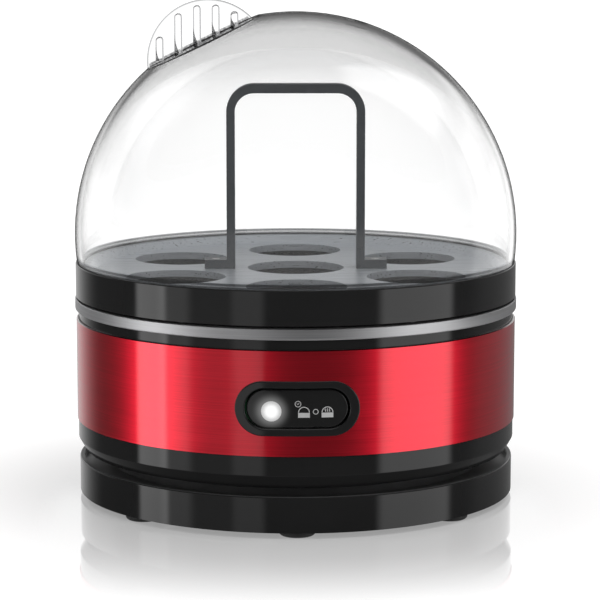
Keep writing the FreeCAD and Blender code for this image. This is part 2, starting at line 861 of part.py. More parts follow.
def round_front(body, radius, edge):
    """Round the edges of a face that lies at a radius from the axis."""
    doc.recompute()
    names = []
    for number, side in enumerate(body.Shape.Edges, 1):
        if all(abs(math.hypot(point.x, point.y) - radius.value) < 0.001 for point in side.discretize(5)):
            names.append(f"Edge{number}")
    base = body.Tip
    fillet = body.newObject("PartDesign::Fillet", "Fillet")
    fillet.Base = (base, names)
    bind(fillet, "Radius", edge)


def switch_pill(width, height):
    return lambda s: pill(s, middle, switch_level, width, height)


body = new_body("switch_bezel")
pad(body, "XZ_Plane", bezel_back, clear_of_body, switch_pill(d.bezel_width, d.bezel_height))
flange_back = sleeve_radius + d.fit_gap
turn(body, "Groove", [
    (0, switch_level - d.bezel_height),
    (flange_back, switch_level - d.bezel_height),
    (flange_back, switch_level + d.bezel_height),
    (0, switch_level + d.bezel_height),
])
pad(body, "XZ_Plane", bezel_back, clear_of_body, switch_pill(tube_width, tube_height))
ring_above(body, bezel_face)
pocket(body, "XZ_Plane", bezel_back, clear_of_body, switch_pill(opening_width, opening_height))
round_front(body, bezel_face, d.bezel_edge)
pin_hole(body, d.pin_radius + d.fit_gap)

rocker = new_body("switch_rocker")
pad(rocker, "XZ_Plane", rocker_back, clear_of_body, switch_pill(d.rocker_width, d.rocker_height))
ring_above(rocker, rocker_face)
round_front(rocker, rocker_face, d.rocker_edge)
pocket(rocker, "XZ_Plane", rocker_back, clear_of_body,
       lambda s: circle(s, -d.lens_offset, lens_level, d.lens_radius + d.fit_gap))
pad(rocker, "XZ_Plane", rocker_back - d.finger_length, rocker_back, lambda s: rectangle(
    s, -d.finger_width / 2, d.finger_width / 2,
    switch_level - d.finger_height / 2, switch_level + d.finger_height / 2))
pin_hole(rocker, d.pin_radius + d.fit_gap)

lens = new_body("indicator_lens")
pad(lens, "XZ_Plane", rocker_back, clear_of_body,
    lambda s: circle(s, -d.lens_offset, lens_level, d.lens_radius))
ring_above(lens, rocker_face + d.lens_proud)

pin_half = tube_height / 2 - d.lift_gap
rocker_pin = primitive("Cylinder", "rocker_pin", Radius=d.pin_radius, Height=pin_half * 2)
place(rocker_pin, y=-pivot, z=switch_level - pin_half)
as_node("rocker_pin", rocker_pin)

body = new_body("switch_body")
pad(body, "XZ_Plane", board_front, bezel_back, lambda s: rectangle(
    s, -d.switch_left, d.switch_right,
    switch_level - tube_height / 2, switch_level + tube_height / 2))
slot_half = d.finger_width / 2 + d.slot_gap
finger_end = rocker_back - d.finger_length
pocket(body, "XZ_Plane", finger_end - d.slot_gap, bezel_back, lambda s: rectangle(
    s, -slot_half, slot_half,
    switch_level - d.finger_height / 2 - d.slot_gap, switch_level + d.finger_height / 2 + d.slot_gap))

body = new_body("control_board")
pad(body, "XZ_Plane", board_back, board_front, lambda s: rectangle(
    s, -d.board_width / 2, d.board_width / 2,
    switch_level - d.board_height / 2, switch_level + d.board_height / 2))

led = primitive("Cylinder", "indicator_led", Radius=d.led_radius, Height=d.led_length)
lay_along_y(led, -d.lens_offset, -board_front, lens_level)
as_node("indicator_led", led)

buzzer = primitive("Cylinder", "buzzer", Radius=d.buzzer_radius, Height=d.buzzer_height)
lay_along_y(buzzer, -d.buzzer_offset, -board_back + d.buzzer_height, switch_level)
as_node("buzzer", buzzer)

tabs = doc.addObject("Part::Compound", "switch_terminals")
tab_list = []
for place_in_row in (0, 1, 2):
    tab = primitive("Box", "tab", Length=d.tab_thickness, Width=d.tab_length, Height=d.tab_width)
    place(tab, d.tab_pitch * place_in_row, -board_back, switch_level - d.tab_width / 2)
    tab_list.append(tab)
tabs.Links = tab_list
as_node("switch_terminals", tabs)

# Rack: ring with a spigot and ribs, plate with seven seats, and the handle

ledge_inner = spigot_radius - d.ledge_width
channel_roof = seat_bottom - d.spigot_wall
body = revolved("rack_ring", [
    (spigot_inner, rim_top - d.spigot_depth),
    (spigot_radius, rim_top - d.spigot_depth),
    (spigot_radius, channel_roof),
    (channel_radius, channel_roof),
    (channel_radius, rack_bottom),
    (rack_radius, rack_bottom),
    (rack_radius, rack_top, d.rack_edge),
    (rack_radius - d.rack_lip, rack_top),
    (rack_radius - d.rack_lip, rebate_floor),
    (plate_bend + d.seat_gap, rebate_floor),
    (plate_bend + d.seat_gap, seat_bottom),
    (ledge_inner, seat_bottom),
    (ledge_inner, channel_roof),
    (spigot_inner, channel_roof),
])
spigot_middle = (spigot_inner + spigot_radius) / 2
wall_middle = (channel_radius + rack_radius) / 2
rib = pad(body, "XY_Plane", rim_top + d.lift_gap, channel_roof, lambda s: rectangle(
    s, spigot_middle, wall_middle, -d.rack_rib / 2, d.rack_rib / 2))
repeat(body, [rib], d.rack_rib_count)

plate_rim_top = rebate_floor + d.plate_sheet
body = revolved("egg_plate", [
    (0, seat_bottom),
    (plate_floor, seat_bottom),
    (plate_bend, rebate_floor),
    (plate_rim, rebate_floor),
    (plate_rim, plate_rim_top),
    (plate_bend - d.plate_sheet / 2, plate_rim_top),
    (plate_floor - d.plate_sheet / 2, seat_top),
    (0, seat_top),
])


def seat_circles(radius):
    def draw(sketch):
        circle(sketch, 0, 0, radius)
        for k in range(SIZES["seat_count"]):
            circle(sketch, *at_angle(seat_ring, 30 + 360 * k / SIZES["seat_count"]), radius)
    return draw


handle_screw_x = d.handle_width / 2 + d.handle_foot / 2


def handle_screw_circles(radius):
    def draw(sketch):
        for side in (-1, 1):
            circle(sketch, handle_screw_x * side, 0, radius)
    return draw


pad(body, "XY_Plane", seat_bottom - d.seat_collar, seat_bottom, seat_circles(d.seat_radius + d.plate_sheet))
pocket(body, "XY_Plane", seat_bottom - d.seat_collar, seat_top, seat_circles(d.seat_radius))
pocket(body, "XY_Plane", seat_bottom, seat_top, handle_screw_circles(d.screw_radius + d.fit_gap))

handle_top = seat_top + d.handle_height
handle_half = d.handle_width / 2
handle_inner = handle_half - d.handle_leg
foot_reach = handle_half + d.handle_foot
foot_top = seat_top + d.handle_foot_thickness
body = new_body("rack_handle")
pad(body, "XZ_Plane", -d.handle_depth / 2, d.handle_depth / 2, lambda s: outline(s, [
    (-foot_reach, seat_top),
    (-handle_inner, seat_top),
    (-handle_inner, handle_top - d.handle_bar, d.handle_corner - d.handle_leg),
    (handle_inner, handle_top - d.handle_bar, d.handle_corner - d.handle_leg),
    (handle_inner, seat_top),
    (foot_reach, seat_top),
    (foot_reach, foot_top),
    (handle_half, foot_top),
    (handle_half, handle_top, d.handle_corner),
    (-handle_half, handle_top, d.handle_corner),
    (-handle_half, foot_top),
    (-foot_reach, foot_top),
]))
pocket(body, "XY_Plane", seat_top, foot_top, handle_screw_circles(d.screw_radius + d.fit_gap))

body = new_body("handle_screws")
pad(body, "XY_Plane", seat_bottom - d.screw_head_height, seat_bottom, handle_screw_circles(d.screw_head))
pad(body, "XY_Plane", seat_bottom, foot_top, handle_screw_circles(d.screw_radius))

# Lid: a dome with a flat facet, a ribbed grip fin standing on the facet, and a steam vent


def dome_solid(label, radius, flat):
    """A ball about the dome's centre with the facet's side cut flat at a distance from that centre."""
    ball = primitive("Sphere", label, Radius=radius)
    place(ball, z=dome_centre)
    return cut(f"{label}_facetted", ball, facet_block(f"{label}_block", flat))


def facet_block(label, distance):
    """A block whose underside is the facet's plane, at a distance from the dome's centre."""
    block = primitive("Box", label, Length=dome_radius * 2, Width=dome_radius * 2, Height=dome_radius)
    block.Placement = FreeCAD.Placement(FreeCAD.Vector(), FreeCAD.Rotation(FreeCAD.Vector(0, 1, 0), -1))
    bind(block, "Placement.Rotation.Angle", -d.facet_tilt)
    sine, cosine = d.facet_tilt.sine(), d.facet_tilt.cosine()
    place(block,
          x=-(distance * sine) - dome_radius * cosine,
          y=-dome_radius,
          z=dome_centre + distance * cosine - dome_radius * sine)
    return block


def fin_ribs():
    """Upright half-round ribs on both faces of the fin, their tops set in from its edge."""
    ribs = []
    rib_radius = d.fin_rib_width / 2
    reach = d.fin_radius - d.fin_rib_inset - rib_radius
    depth = d.fin_thickness / 2 + d.fin_rib_proud - rib_radius
    for k in range(SIZES["fin_rib_count"]):
        step = d.fin_rib_pitch * (k - (SIZES["fin_rib_count"] - 1) / 2) - d.fin_rib_shift
        crown = (reach * reach - step * step).root()
        for side in (-1, 1):
            bar = primitive("Cylinder", "fin_rib", Radius=rib_radius, Height=crown)
            place(bar, fin_x + step, depth * side, fin_z)
            top = primitive("Sphere", "fin_rib_top", Radius=rib_radius)
            place(top, fin_x + step, depth * side, fin_z + crown)
            ribs += [bar, top]
    return ribs


step_level = rack_top + d.lift_gap
step_radius = rack_radius - d.rack_lip - d.lift_gap
edge_step = primitive("Cylinder", "lid_edge_step", Radius=step_radius, Height=step_level - lid_edge)
place(edge_step, z=lid_edge)
above = primitive("Cylinder", "lid_above_step", Radius=dome_radius + d.dome_wall, Height=dome_radius * 2)
place(above, z=step_level)
keep = join("MultiFuse", "lid_envelope", [edge_step, above])
outer = doc.addObject("Part::Common", "lid_outer")
outer.Base = dome_solid("dome_outer", dome_radius, facet_distance)
outer.Tool = keep
cavity = dome_solid("dome_inner", dome_radius - d.dome_wall, facet_distance - d.dome_wall)
shell = cut("lid_shell", outer, cavity)

disc = primitive("Cylinder", "fin_disc", Radius=d.fin_radius, Height=d.fin_thickness)
lay_along_y(disc, fin_x, d.fin_thickness / 2, fin_z)
fin = doc.addObject("Part::Common", "fin")
fin.Base = join("MultiFuse", "fin_whole", [disc] + fin_ribs())
fin.Tool = facet_block("fin_block", facet_distance)

vent = primitive("Cylinder", "vent", Radius=d.vent_radius, Height=dome_radius)
place(vent, x=d.vent_offset, z=dome_centre + dome_radius / 2)
as_node("clear_lid", cut("clear_lid", join("MultiFuse", "lid_whole", [shell, fin]), vent))

# Check everything, then write each node's solids

doc.recompute()
for thing in doc.Objects:
    if "Invalid" in thing.State or "Error" in thing.State:
        raise RuntimeError(f"{thing.Label} failed: {thing.State}")
for label, thing in nodes.items():
    if thing.Shape.isNull() or not thing.Shape.isValid():
        raise RuntimeError(f"{label} has no valid shape")

os.makedirs("parts", exist_ok=True)
for label, thing in nodes.items():
    thing.Shape.exportStep(f"parts/{label}.step")
    print(label, len(thing.Shape.Solids), "solids", round(thing.Shape.Volume, 1), "mm3")
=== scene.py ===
"""Looks, studio and camera of the egg cooker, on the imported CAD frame. Metres, +Z up, front towards -Y."""

import json
import math

import bpy
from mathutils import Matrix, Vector
from mathutils.bvhtree import BVHTree


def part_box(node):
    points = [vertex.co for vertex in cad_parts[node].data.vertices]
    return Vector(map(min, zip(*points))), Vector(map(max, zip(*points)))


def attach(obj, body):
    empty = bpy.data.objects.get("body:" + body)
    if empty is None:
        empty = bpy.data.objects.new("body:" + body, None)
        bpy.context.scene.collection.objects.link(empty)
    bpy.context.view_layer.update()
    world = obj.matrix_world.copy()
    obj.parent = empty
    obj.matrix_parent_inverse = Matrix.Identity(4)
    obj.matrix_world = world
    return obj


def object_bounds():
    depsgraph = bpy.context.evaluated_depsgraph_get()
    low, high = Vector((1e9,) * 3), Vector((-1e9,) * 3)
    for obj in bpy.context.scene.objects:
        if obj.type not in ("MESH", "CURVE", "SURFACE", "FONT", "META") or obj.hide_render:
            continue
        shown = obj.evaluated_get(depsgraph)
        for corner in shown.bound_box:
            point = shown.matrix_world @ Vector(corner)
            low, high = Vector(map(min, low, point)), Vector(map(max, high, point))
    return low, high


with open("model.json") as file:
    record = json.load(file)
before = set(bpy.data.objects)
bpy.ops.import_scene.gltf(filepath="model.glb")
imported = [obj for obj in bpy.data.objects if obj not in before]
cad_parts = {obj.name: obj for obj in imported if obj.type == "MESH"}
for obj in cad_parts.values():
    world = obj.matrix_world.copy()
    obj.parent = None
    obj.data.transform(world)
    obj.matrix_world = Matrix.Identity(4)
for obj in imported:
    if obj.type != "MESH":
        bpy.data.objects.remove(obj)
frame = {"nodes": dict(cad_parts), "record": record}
cad_low, cad_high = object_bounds()
nodes = frame["nodes"]
scene = bpy.context.scene
scene.view_settings.view_transform = "Standard"

MM = 0.001


def mm(*lengths):
    """Lengths written in millimetres, in metres."""
    return tuple(length * MM for length in lengths)


def grey(level):
    return (level, level, level, 1.0)


WHITE = grey(1.0)


# Shader building

class Graph:
    """Makes and joins the nodes of one material or of the world."""

    def __init__(self, owner):
        owner.use_nodes = True
        self.tree = owner.node_tree
        self.tree.nodes.clear()

    def add(self, kind, inputs=None, **settings):
        node = self.tree.nodes.new("ShaderNode" + kind)
        for name, value in settings.items():
            setattr(node, name, value)
        for key, value in (inputs or {}).items():
            if isinstance(value, bpy.types.NodeSocket):
                self.tree.links.new(value, node.inputs[key])
            else:
                node.inputs[key].default_value = value
        return node

    def math(self, operation, *values):
        return self.add("Math", dict(enumerate(values)), operation=operation).outputs[0]

    def where(self):
        """Place on the piece, in the CAD frame at rest."""
        return self.add("TexCoord").outputs["Object"]

    def place(self):
        """X, Y and Z of the place on the piece."""
        return self.add("SeparateXYZ", {0: self.where()}).outputs

    def normal(self):
        """X, Y and Z of the surface's normal."""
        return self.add("SeparateXYZ", {0: self.add("NewGeometry").outputs["Normal"]}).outputs

    def length(self, *parts):
        """Length of a vector given by its parts."""
        vector = self.add("CombineXYZ", dict(enumerate(parts))).outputs[0]
        return self.add("VectorMath", {0: vector}, operation="LENGTH").outputs["Value"]

    def noise(self, waves, detail=3.0):
        """Noise with so many waves per metre, one number or one each along X, Y and Z."""
        scale = waves if isinstance(waves, tuple) else (waves, waves, waves)
        spread = self.add("Mapping", {"Vector": self.where(), "Scale": scale}).outputs[0]
        return self.add("TexNoise", {"Vector": spread, "Scale": 1.0, "Detail": detail}).outputs[0]

    def rings(self, waves, drift=25.0):
        """Noise that runs round the Z axis, as turning marks do, and drifts slowly along X."""
        x, y, z = self.place()
        spread = self.add("CombineXYZ", {
            0: self.math("MULTIPLY", self.length(x, y), waves),
            1: self.math("MULTIPLY", x, drift),
            2: self.math("MULTIPLY", z, waves),
        }).outputs[0]
        return self.add("TexNoise", {"Vector": spread, "Scale": 1.0, "Detail": 3.0}).outputs[0]

    def remap(self, value, low, high, start=0.3, end=0.7, kind="LINEAR"):
        """Turns start to end into low to high; most noise lies between 0.3 and 0.7."""
        return self.add("MapRange", {
            "Value": value, "From Min": start, "From Max": end, "To Min": low, "To Max": high,
        }, interpolation_type=kind).outputs[0]

    def step_up(self, value, start, end, kind="LINEAR"):
        """0 up to start, 1 from end on."""
        return self.remap(value, 0.0, 1.0, start, end, kind)

    def step_down(self, value, start, end, kind="LINEAR"):
        """1 up to start, 0 from end on."""
        return self.remap(value, 1.0, 0.0, start, end, kind)

    def overlap(self, first, *others):
        """The product of masks."""
        for other in others:
            first = self.math("MULTIPLY", first, other)
        return first

    def blend(self, factor, first, second, kind="MIX"):
        """A colour between two colours or colour sockets, the Mix node's inputs 6 and 7."""
        inputs = {0: factor, 6: first, 7: second}
        return self.add("Mix", inputs, data_type="RGBA", blend_type=kind).outputs[2]

    def shade(self, value, dark, light, start=0.3, end=0.7):
        """A colour between two, by a value."""
        return self.blend(self.step_up(value, start, end), (*dark, 1.0), (*light, 1.0))

    def bump(self, height, strength, depth):
        return self.add("Bump", {"Height": height, "Strength": strength, "Distance": depth}).outputs[0]

    def finish(self, shader, kind="OutputMaterial"):
        self.tree.links.new(shader, self.add(kind).inputs["Surface"])


def new_material(name):
    material = bpy.data.materials.new(name)
    return material, Graph(material)


def scaled(colour, gain):
    return tuple(channel * gain for channel in colour)


# Plastics and metals. Waves are counted per metre

SKIN_DEPTH = 0.02 * MM
SKIN_STRENGTH = 0.05
PEEL_WAVES = 260.0
PEEL_CLOUD = PEEL_WAVES / 6
PEEL_LIGHTER = 1.15
TOP_FACING = (0.8, 0.95)
# Painted light: upward-facing faces are painted this many times lighter than the walls
TOP_PAINTED_LIGHT = 5.0
TOP_ROUGHER = 0.3
# Painted shade: downward-facing faces lose most of their specular, so they stay dark like the shade beneath
# a piece
UNDER_FACING = (-0.4, -0.2)
PLAIN_SPECULAR = 0.5
UNDER_SHADE_SPECULAR = 0.06
GRAIN_CLOUD = 90.0
GRAIN_LIGHTER = 1.3
GRAIN_ROUGHER = 0.06
METAL_CLOUD = 28.0
METAL_CLOUD_SHARE = 0.25
METAL_TONES = (0.35, 0.65)
# Painted shade: how far up a face turns before it takes the darker top colour
SHADED_TOP_FACING = (0.3, 0.6)
ROUND_LINE_WAVES = 22.0
STRAIGHT_LINE_WAVES = 18.0


def gloss_plastic(name, colour, low, high):
    """Moulded plastic with a faint orange peel: its walls polished; its tops satin and painted lighter, a
    painted light; its undersides with little specular, a painted shade.
    """
    material, g = new_material(name)
    cloud = g.noise(PEEL_CLOUD)
    skin = g.noise(PEEL_WAVES, detail=2.0)
    facing = g.normal()[2]
    top = g.step_up(facing, *TOP_FACING)
    # Painted shade: mask of the downward-facing faces, whose specular drops
    under = g.step_down(facing, *UNDER_FACING)
    wall_colour = g.shade(cloud, colour, scaled(colour, PEEL_LIGHTER))
    # Painted light: the tops take a lighter copy of the colour
    top_painted_colour = (*scaled(colour, TOP_PAINTED_LIGHT), 1.0)
    shader = g.add("BsdfPrincipled", {
        "Base Color": g.blend(top, wall_colour, top_painted_colour),
        "Roughness": g.math("MULTIPLY_ADD", top, TOP_ROUGHER, g.remap(cloud, low, high)),
        "Normal": g.bump(skin, SKIN_STRENGTH, SKIN_DEPTH),
        "IOR": 1.43,
        "Specular IOR Level": g.remap(under, PLAIN_SPECULAR, UNDER_SHADE_SPECULAR, 0.0, 1.0),
    })
    g.finish(shader.outputs[0])
    return material


def grained(name, colour, rough, grain=2200.0, depth=0.05, strength=0.3):
    """Matt plastic, rubber or ceramic with a fine grain, whose depth is in millimetres."""
    material, g = new_material(name)
    fine = g.noise(grain, detail=4.0)
    cloud = g.noise(GRAIN_CLOUD)
    shader = g.add("BsdfPrincipled", {
        "Base Color": g.shade(cloud, colour, scaled(colour, GRAIN_LIGHTER)),
        "Roughness": g.remap(fine, rough - GRAIN_ROUGHER, rough + GRAIN_ROUGHER),
        "Normal": g.bump(fine, strength, depth * MM),
    })
    g.finish(shader.outputs[0])
    return material


def brushed_metal(name, dark, light, lines, low, high,
                  strength=0.12, coat=0.0, spread=0.0, shaded_top=None, metal=1.0):
    """Metal with brush lines; lines(graph) gives the noise along them. An upward-facing top edge can be
    painted a darker colour, a painted shade that hides the highlight it would catch.
    """
    material, g = new_material(name)
    mark = lines(g)
    cloud = g.math("MULTIPLY", g.noise(METAL_CLOUD), METAL_CLOUD_SHARE)
    tone = g.math("MULTIPLY_ADD", mark, 1.0 - METAL_CLOUD_SHARE, cloud)
    colour = g.shade(tone, dark, light, *METAL_TONES)
    # Painted shade on the upward-facing top edge
    if shaded_top:
        colour = g.blend(g.step_up(g.normal()[2], *SHADED_TOP_FACING), colour, (*shaded_top, 1.0))
    shader = g.add("BsdfPrincipled", {
        "Base Color": colour,
        "Metallic": metal,
        "Roughness": g.remap(mark, low, high),
        "Normal": g.bump(mark, strength, SKIN_DEPTH),
        "Anisotropic": spread,
        "Anisotropic Rotation": 0.25,
        "Coat Weight": coat,
        "Coat Roughness": 0.08,
    })
    if spread:
        around = g.add("Tangent", direction_type="RADIAL", axis="Z").outputs[0]
        g.tree.links.new(around, shader.inputs["Tangent"])
    g.finish(shader.outputs[0])
    return material


def round_lines(waves):
    """Brush lines that run round the piece, stacked up its height."""
    return lambda g: g.noise((ROUND_LINE_WAVES, ROUND_LINE_WAVES, waves))


def straight_lines(waves):
    """Brush lines along X on a flat sheet."""
    return lambda g: g.noise((STRAIGHT_LINE_WAVES, waves, waves))


def turned_lines(waves):
    """Lines that run round the Z axis."""
    return lambda g: g.rings(waves)


# Clear lid. Pairs of lengths are the two ends of a mask's soft edge

# How far the surface turns away from the eye, from 0 to 1, and the colour there: painted shade that darkens
# the lid towards its outline, in place of the dark outline refraction gives
LID_OUTLINE_SHADE = ((0.6, WHITE), (0.8, grey(0.9)), (0.88, grey(0.55)), (0.96, (0.12, 0.125, 0.13, 1.0)))
# Painted shade on the lid's crown
CROWN_PAINTED_SHADE = grey(0.89)
# Painted shade: a dark line along the fin's rim, in place of the dark outline of a rounded clear edge
FIN_EDGE_PAINTED_SHADE = (0.45, 0.455, 0.46, 1.0)
# Painted shade on the ribs' flanks and on the fin's root
RIB_PAINTED_SHADE = (0.18, 0.18, 0.185, 1.0)
# Painted shade on the lid's thick lower hem
HEM_PAINTED_SHADE = (0.16, 0.165, 0.17, 1.0)
PASSING_TINT = (0.96, 0.965, 0.965, 1.0)
LID_WAVES = 45.0
LID_WAVE_STRENGTH = 0.003
LID_WAVE_DEPTH = 0.05 * MM

# Heights above the lid's lower edge
CROWN_BOTTOM = mm(61.5, 73.5)
HEM_TOP = mm(2.4, 2.7)
HEM_LINE = 1.5 * MM
HEM_LINE_WIDTH = mm(0.1, 0.3)
HEM_LINE_WEIGHT = 0.6

# The fin is part of a disc, cut off by the facet's plane, which lies above the disc's middle
FIN_X = -31.4 * MM
FIN_RADIUS = 22.0 * MM
FACET_TILT = math.radians(25.6)
FACET_HEIGHT = 7.0 * MM

# Distances past the disc's rim, depths from its middle plane and heights above the facet
FIN_EDGE_INSIDE = mm(-0.5, -0.2)
FIN_EDGE_OUTSIDE = mm(0.1, 0.3)
FIN_EDGE_DEPTH = mm(1.6, 1.7)
FIN_FACE_RIM = mm(-0.8, -0.6)
FIN_FACE_DEPTH = mm(2.6, 2.7)
FIN_FACE_BOTTOM = mm(-0.2, 0.1)
FOOT_TOP = mm(1.1, 1.6)
ROOT_BOTTOM = mm(-2.3, -2.0)
ROOT_TOP = mm(0.05, 0.1)
ROOT_DEPTH = mm(1.5, 4.0)
ROOT_WEIGHT = 0.6
RIB_FACING = (0.65, 0.88)
# Noise that breaks up the painted shade at the fin's foot
FOOT_SHADE_WAVES = 750.0
FOOT_SHADE_WEIGHTS = (0.45, 1.0)
FOOT_SHADE_RANGE = (0.42, 0.56)


def lid_heights():
    """Heights of the lid's lower edge and of the fin's top."""
    low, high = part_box("clear_lid")
    return low.z, high.z


def clear_plastic(name):
    """Clear moulded plastic with painted shade: darker towards its outline, on its crown, along the fin's
    rim, on the fin's ribs and root, and on its lower hem; light passes through it to what it covers.
    """
    material, g = new_material(name)
    # Painted shade towards the outline, by how far the surface turns away from the eye
    outline_shade = g.add("ValToRGB", {0: g.add("LayerWeight", {"Blend": 0.5}).outputs["Facing"]})
    stops = outline_shade.color_ramp.elements
    for stop, (position, tone) in zip(stops, (LID_OUTLINE_SHADE[0], LID_OUTLINE_SHADE[-1])):
        stop.position = position
        stop.color = tone
    for position, tone in LID_OUTLINE_SHADE[1:-1]:
        stops.new(position).color = tone

    height = g.math("SUBTRACT", g.place()[2], lid_heights()[0])
    edge, ribs, fin = fin_marks(g)
    # Painted shade on the crown, left off the fin
    crown = g.step_up(height, *CROWN_BOTTOM)
    crown = g.math("SUBTRACT", crown, g.overlap(crown, fin))
    colour = g.blend(crown, outline_shade.outputs[0], CROWN_PAINTED_SHADE, "MULTIPLY")
    # Painted shade: a dark line along the fin's rim, dark rib flanks and fin root, and a dark lower hem
    colour = g.blend(edge, colour, FIN_EDGE_PAINTED_SHADE)
    colour = g.blend(ribs, colour, RIB_PAINTED_SHADE)
    colour = g.blend(hem(g, height), colour, HEM_PAINTED_SHADE)
    wave = g.noise(LID_WAVES, detail=1.0)
    glass = g.add("BsdfPrincipled", {
        "Base Color": colour,
        "Roughness": 0.0,
        "IOR": 1.49,
        "Transmission Weight": 1.0,
        "Normal": g.bump(wave, LID_WAVE_STRENGTH, LID_WAVE_DEPTH),
    }).outputs[0]
    clear = g.add("BsdfTransparent", {"Color": PASSING_TINT}).outputs[0]
    path = g.add("LightPath").outputs
    passing = g.math("MAXIMUM", path["Is Shadow Ray"], path["Is Diffuse Ray"])
    g.finish(g.add("MixShader", {0: passing, 1: glass, 2: clear}).outputs[0])
    return material


def fin_marks(g):
    """Three masks: the painted dark line along the fin's edge, the painted shade on its ribs' flanks and on
    its root on the facet, and its whole face.
    """
    x, y, z = g.place()
    across = g.math("SUBTRACT", x, FIN_X)
    up = g.math("SUBTRACT", z, lid_heights()[1] - FIN_RADIUS)
    past_rim = g.math("SUBTRACT", g.length(across, up), FIN_RADIUS)
    depth = g.math("ABSOLUTE", y)
    # Painted shade: band just inside the fin's rim
    edge = g.overlap(
        g.step_up(past_rim, *FIN_EDGE_INSIDE),
        g.step_down(past_rim, *FIN_EDGE_OUTSIDE),
        g.step_down(depth, *FIN_EDGE_DEPTH),
    )

    lifted = g.math("MULTIPLY_ADD", up, math.cos(FACET_TILT), -FACET_HEIGHT)
    above_facet = g.math("MULTIPLY_ADD", across, -math.sin(FACET_TILT), lifted)
    face = g.overlap(
        g.step_down(past_rim, *FIN_FACE_RIM),
        g.step_down(depth, *FIN_FACE_DEPTH),
        g.step_up(above_facet, *FIN_FACE_BOTTOM),
    )
    # Painted shade: rib flanks, the fin's foot and its root are darkened
    flank = g.step_down(g.math("ABSOLUTE", g.normal()[1]), *RIB_FACING)
    foot_shade_noise = g.remap(g.noise(FOOT_SHADE_WAVES, detail=2.0), *FOOT_SHADE_WEIGHTS, *FOOT_SHADE_RANGE)
    foot = g.overlap(g.step_down(above_facet, *FOOT_TOP), foot_shade_noise)
    ribs = g.overlap(face, g.math("MAXIMUM", flank, foot))
    root = g.overlap(
        g.step_up(above_facet, *ROOT_BOTTOM),
        g.remap(above_facet, ROOT_WEIGHT, 0.0, *ROOT_TOP),
        g.step_down(depth, *ROOT_DEPTH),
    )
    return edge, g.math("MAXIMUM", ribs, root), face


def hem(g, height):
    """1 on the lid's thick lower hem, where a painted shade lies, with a clearer line along it that takes
    less of that shade.
    """
    below = g.step_down(height, *HEM_TOP)
    from_line = g.math("ABSOLUTE", g.math("SUBTRACT", height, HEM_LINE))
    return g.overlap(below, g.remap(from_line, HEM_LINE_WEIGHT, 1.0, *HEM_LINE_WIDTH))


# Lamp in the rocker

GLOW_REACH = mm(2.6, 8.2)
GLOW_LEVEL = 0.46
GLOW_POWER = 2.2
ROCKER_ROUGHNESS = (0.16, 0.24)
LENS_REACH = mm(1.2, 3.5)
LENS_COLOUR = grey(0.2)
LENS_WAVES = 900.0
LENS_ROUGHNESS = (0.22, 0.32)


def lens_centre():
    low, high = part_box("indicator_lens")
    return (low.x + high.x) / 2, (low.z + high.z) / 2


def distance_from_lamp(g):
    """Distance in the switch's face from the middle of the lamp's lens."""
    lamp_x, lamp_z = lens_centre()
    x, _, z = g.place()
    return g.length(g.math("SUBTRACT", x, lamp_x), g.math("SUBTRACT", z, lamp_z))


def lit_plastic(name, colour):
    """The rocker's black plastic, with the lamp's light showing through round the lens."""
    material, g = new_material(name)
    skin = g.noise(PEEL_WAVES, detail=2.0)
    glow = g.remap(distance_from_lamp(g), GLOW_LEVEL, 0.0, *GLOW_REACH, "SMOOTHSTEP")
    shader = g.add("BsdfPrincipled", {
        "Base Color": (*colour, 1.0),
        "Roughness": g.remap(skin, *ROCKER_ROUGHNESS),
        "Normal": g.bump(skin, SKIN_STRENGTH, SKIN_DEPTH),
        "Emission Color": WHITE,
        "Emission Strength": g.math("POWER", glow, GLOW_POWER),
    })
    g.finish(shader.outputs[0])
    return material


def lamp_plastic(name, centre, edge):
    """A lit, milky lens with one strength of light in its middle and another at its edge."""
    material, g = new_material(name)
    fine = g.noise(LENS_WAVES, detail=2.0)
    shader = g.add("BsdfPrincipled", {
        "Base Color": LENS_COLOUR,
        "Roughness": g.remap(fine, *LENS_ROUGHNESS),
        "Normal": g.bump(fine, SKIN_STRENGTH, SKIN_DEPTH),
        "Emission Color": WHITE,
        "Emission Strength": g.remap(distance_from_lamp(g), centre, edge, *LENS_REACH, "SMOOTHSTEP"),
    })
    g.finish(shader.outputs[0])
    return material


# Finish of each piece

